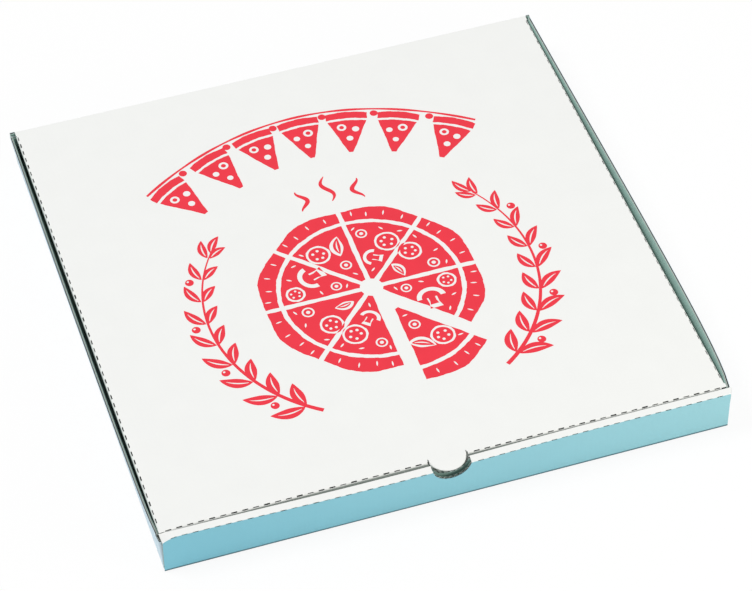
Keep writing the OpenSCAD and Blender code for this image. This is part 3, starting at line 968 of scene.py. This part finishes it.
class BOX_OT_tray(Operator):
    """Builds the tray: outer liner, inner liner and the fluted sheet between them"""

    bl_idname = "box.tray"
    bl_label = "Tray"

    def execute(self, context):
        p = plan()
        # Blue and pale stand for the white card in painted shade.
        papers = [paper("white"), blue_paper(), paper("pale"), paper("scuff"), paper("raw")]
        white, blue, pale, scuff, _ = range(len(papers))
        # The third zone, the foot of the front wall, takes the painted contact shadow colour.
        outer = tray_strip(p, 0.0, p.fold_r, False, (pale, white, scuff, blue, white))
        outer += tray_side(p, 0.0, p.fold_r, False, pale)
        piece = add_piece("tray_outer_liner", outer, papers, p.liner)
        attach(piece, "tray")
        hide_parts("tray")
        plain = (0,) * 5
        inner = tray_strip(p, p.board, p.inner_r, True, plain) + tray_side(p, p.board, p.inner_r, True, 0)
        papers = [paper("inside"), paper("raw")]
        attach(add_piece("tray_inner_liner", inner, papers, p.liner), "tray")
        wave, middle = flute_wave(p), p.board / 2
        flutes = tray_strip(p, middle, p.core_r, False, plain, wave)
        flutes += tray_side(p, middle, p.core_r, False, 0, wave)
        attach(add_piece("tray_flutes", flutes, [paper("medium")], p.medium), "tray")
        return {"FINISHED"}


class BOX_OT_lid(Operator):
    """Builds the lid with its flaps and thumb tab, from the same three sheets as the tray"""

    bl_idname = "box.lid"
    bl_label = "Lid"

    def execute(self, context):
        p = plan()
        outer = lid_sheet(p, 0.0, p.side_r, p.front_r, True)
        # The flaps' greyer colour is painted shade.
        papers = [paper("white"), paper("flap"), paper("raw")]
        piece = add_piece("lid_outer_liner", outer, papers, p.liner)
        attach(piece, "lid")
        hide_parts("lid")
        inner = lid_sheet(p, p.board, p.inner_r, p.inner_r, False)
        papers = [paper("inside"), paper("raw")]
        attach(add_piece("lid_inner_liner", inner, papers, p.liner), "lid")
        flutes = lid_sheet(p, p.board / 2, p.core_r, p.core_r, True, flute_wave(p))
        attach(add_piece("lid_flutes", flutes, [paper("medium")], p.medium), "lid")
        return {"FINISHED"}


class BOX_OT_hinge(Operator):
    """Builds the two liners that bend at the hinge crease"""

    bl_idname = "box.hinge"
    bl_label = "Hinge skin"

    def execute(self, context):
        p = plan()
        for name, outer, mat in (
            ("hinge_outer_liner", True, paper("white")),
            ("hinge_inner_liner", False, paper("inside")),
        ):
            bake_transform(add_piece(name, [skin_strip(p, outer)], [mat]))
        return {"FINISHED"}


class BOX_OT_print(Operator):
    """Prints the lid in one red: a round of slices, two twigs, a garland and rising steam"""

    bl_idname = "box.print"
    bl_label = "Print"

    def execute(self, context):
        p = plan()
        drawn_half, centre, twig_r = 150.0, (0.0, -22.0), 88.0
        pulls = (1.2, 1.2, 1.2, 1.2, 1.2, 1.2, 15.0, 1.2)
        rounds = []
        for k, pull in enumerate(pulls):
            rounds += slice_shapes(k, len(pulls), centre, pull)
        twigs = sprig_shapes(centre, twig_r, math.radians(236), math.radians(146), 1)
        twigs += sprig_shapes(centre, twig_r, math.radians(-56), math.radians(34), -1)
        for name, shapes in (
            ("print_round", rounds),
            ("print_twigs", twigs),
            ("print_garland", garland_shapes(112.0, 0.0038, 84.0, 7)),
            ("print_steam", steam_shapes((0.0, 42.0))),
        ):
            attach(film(p, name, shapes, p.half_w / drawn_half, paper("red")), "lid")
        return {"FINISHED"}


def facing(back, place):
    """Matrix of a lamp or camera at a place that looks against back, with its top towards +z."""
    back = np.asarray(back, float) / np.linalg.norm(back)
    right = np.cross((0, 0, 1), back)
    right = right / np.linalg.norm(right)
    return Matrix(np.vstack([np.column_stack([right, np.cross(back, right), back, place]), [0, 0, 0, 1]]))


class BOX_OT_stage(Operator):
    """Sets up the floor, the light and the camera"""

    bl_idname = "box.stage"
    bl_label = "Stage"

    def execute(self, context):
        scene, s = context.scene, context.scene.box_stage
        half, below = 4.0, 0.0005
        corners = [(-half, -half, -below), (half, -half, -below), (half, half, -below), (-half, half, -below)]
        mesh = bpy.data.meshes.new("floor")
        mesh.from_pydata(corners, [], [(0, 1, 2, 3)])
        floor = bpy.data.objects.new("floor", mesh)
        scene.collection.objects.link(floor)
        mat = bpy.data.materials.new("floor")
        mat.use_nodes = True
        tree = mat.node_tree
        shader = tree.nodes["Principled BSDF"]
        shader.inputs["Base Color"].default_value = (1.0, 1.0, 1.0, 1.0)
        shader.inputs["Roughness"].default_value = 0.9
        ray = add_node(tree, "LightPath").outputs["Is Camera Ray"]
        seen = add_node(tree, "Math", {0: ray, 1: s.backdrop}, operation="MULTIPLY").outputs[0]
        white = add_node(tree, "Emission").outputs["Emission"]
        mix = add_node(tree, "MixShader", {"Fac": seen, 1: shader.outputs["BSDF"], 2: white})
        tree.links.new(mix.outputs["Shader"], tree.nodes["Material Output"].inputs["Surface"])
        mesh.materials.append(mat)

        world = bpy.data.worlds.new("studio")
        scene.world = world
        world.use_nodes = True
        sky = world.node_tree.nodes["Background"]
        sky.inputs["Color"].default_value = (1, 1, 1, 1)
        sky.inputs["Strength"].default_value = s.sky
        for name, place, width, power, tint in (
            ("key", (-3.0, 1.2, 4.8), 2.0, s.key, (1.0, 1.0, 1.0)),
            ("right", (0.95, -0.85, 0.35), 0.6, s.right, (1.0, 0.97, 0.86)),
        ):
            light = bpy.data.lights.new(name, "AREA")
            light.size, light.energy, light.color = width, power, tint
            lamp = bpy.data.objects.new(name, light)
            scene.collection.objects.link(lamp)
            lamp.matrix_world = facing(place, place)

        az, el = s.azimuth, s.elevation
        back = np.array([math.sin(az) * math.cos(el), -math.cos(az) * math.cos(el), math.sin(el)])
        data = bpy.data.cameras.new("camera")
        data.lens, data.sensor_width, data.sensor_fit = s.lens, 36.0, "HORIZONTAL"
        camera = bpy.data.objects.new("camera", data)
        scene.collection.objects.link(camera)
        place = np.array([s.aim_x, s.aim_y, 0]) + back * s.distance
        camera.matrix_world = facing(back, place) @ Matrix.Rotation(s.roll, 4, "Z")
        scene.camera = camera
        scene.view_settings.view_transform = "Standard"
        return {"FINISHED"}


class BOX_PT_panel(Panel):
    """Buttons and settings of the box"""

    bl_idname = "BOX_PT_panel"
    bl_label = "Folded box"
    bl_space_type = "VIEW_3D"
    bl_region_type = "UI"
    bl_category = "Box"

    def draw(self, context):
        layout, scene = self.layout, context.scene
        for name in ("tray", "lid", "hinge", "print", "stage"):
            layout.operator(f"box.{name}")
        for name in GROUPS:
            settings, box = getattr(scene, name), layout.box()
            for key in settings.__annotations__:
                box.prop(settings, key)


GROUPS = {
    "box_board": BoardSettings,
    "box_give": GiveSettings,
    "box_shape": ShapeSettings,
    "box_look": LookSettings,
    "box_stage": StageSettings,
}
CLASSES = (*GROUPS.values(), BOX_OT_tray, BOX_OT_lid, BOX_OT_hinge, BOX_OT_print, BOX_OT_stage, BOX_PT_panel)


def register():
    """Adds the classes and puts the settings on the scene."""
    for cls in CLASSES:
        bpy.utils.register_class(cls)
    for name, cls in GROUPS.items():
        setattr(bpy.types.Scene, name, PointerProperty(type=cls))


def unregister():
    """Takes the settings and the classes away again."""
    for name in GROUPS:
        delattr(bpy.types.Scene, name)
    for cls in reversed(CLASSES):
        bpy.utils.unregister_class(cls)


def main():
    register()
    bpy.ops.box.tray()
    bpy.ops.box.lid()
    bpy.ops.box.hinge()
    bpy.ops.box.print()
    bpy.ops.box.stage()


if __name__ == "__main__":
    main()
